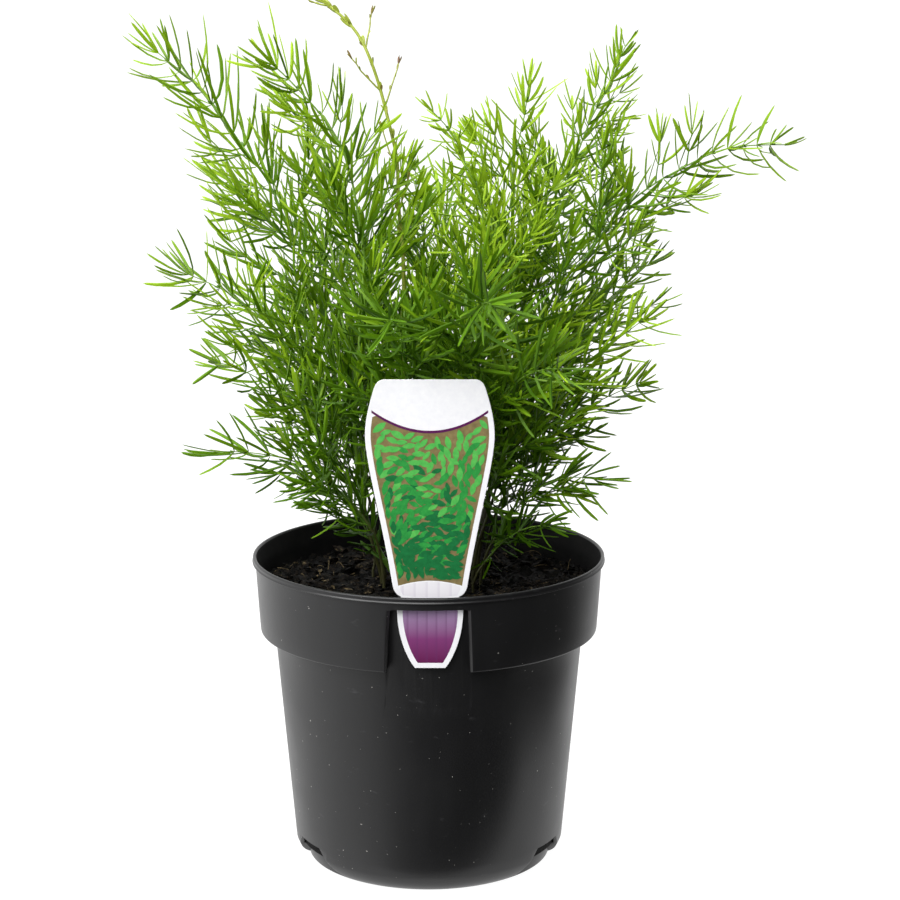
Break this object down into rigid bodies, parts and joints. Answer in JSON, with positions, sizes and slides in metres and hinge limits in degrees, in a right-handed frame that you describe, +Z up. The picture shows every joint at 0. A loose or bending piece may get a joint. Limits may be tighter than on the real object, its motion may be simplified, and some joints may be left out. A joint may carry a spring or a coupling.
{
  "type": "potted foxtail fern",
  "caption": "Foxtail fern of arching stems with upswept needle leaves and a bare new shoot, in a round nursery pot with a stepped collar, a slot holding a plant label, and drainage notches.",
  "frame": {"origin": "centre of the pot's flat base, on the surface that it stands on", "axes": "+Z up, -Y towards the front, where the label stands, and +X to the right as seen from the front"},
  "size_m": [0.2683, 0.2202, 0.3539],
  "materials": {
    "pot_plastic": "satin",
    "potting_mix": "matte",
    "label_plastic": "satin",
    "leaf_green": "satin",
    "shoot_green": "satin"
  },
  "bodies": {
    "root": {"pot": "pot_plastic", "soil": "potting_mix", "label": "label_plastic", "new_shoot": "shoot_green", "stem_upper_left": "leaf_green", "stem_top_left": "leaf_green", "stem_top_right": "leaf_green", "stem_tall_right": "leaf_green", "stem_far_right": "leaf_green", "stem_young_top": "leaf_green", "stem_crown_top": "leaf_green", "stem_mid_left": "leaf_green", "stem_front_left_low": "leaf_green", "stem_low_left": "leaf_green", "stem_mid_right": "leaf_green", "stem_front_right": "leaf_green", "stem_side_right": "leaf_green", "stem_low_right": "leaf_green", "sprig_right": "leaf_green", "sprig_left": "leaf_green", "stem_front_centre": "leaf_green", "stem_front_far_right": "leaf_green", "stem_front_left": "leaf_green", "stem_back_left": "leaf_green", "stem_back_centre": "leaf_green", "stem_back_right": "leaf_green", "stem_back_low_right": "leaf_green", "stem_back_low_left": "leaf_green", "stem_back_low": "leaf_green"}
  },
  "joints": []
}
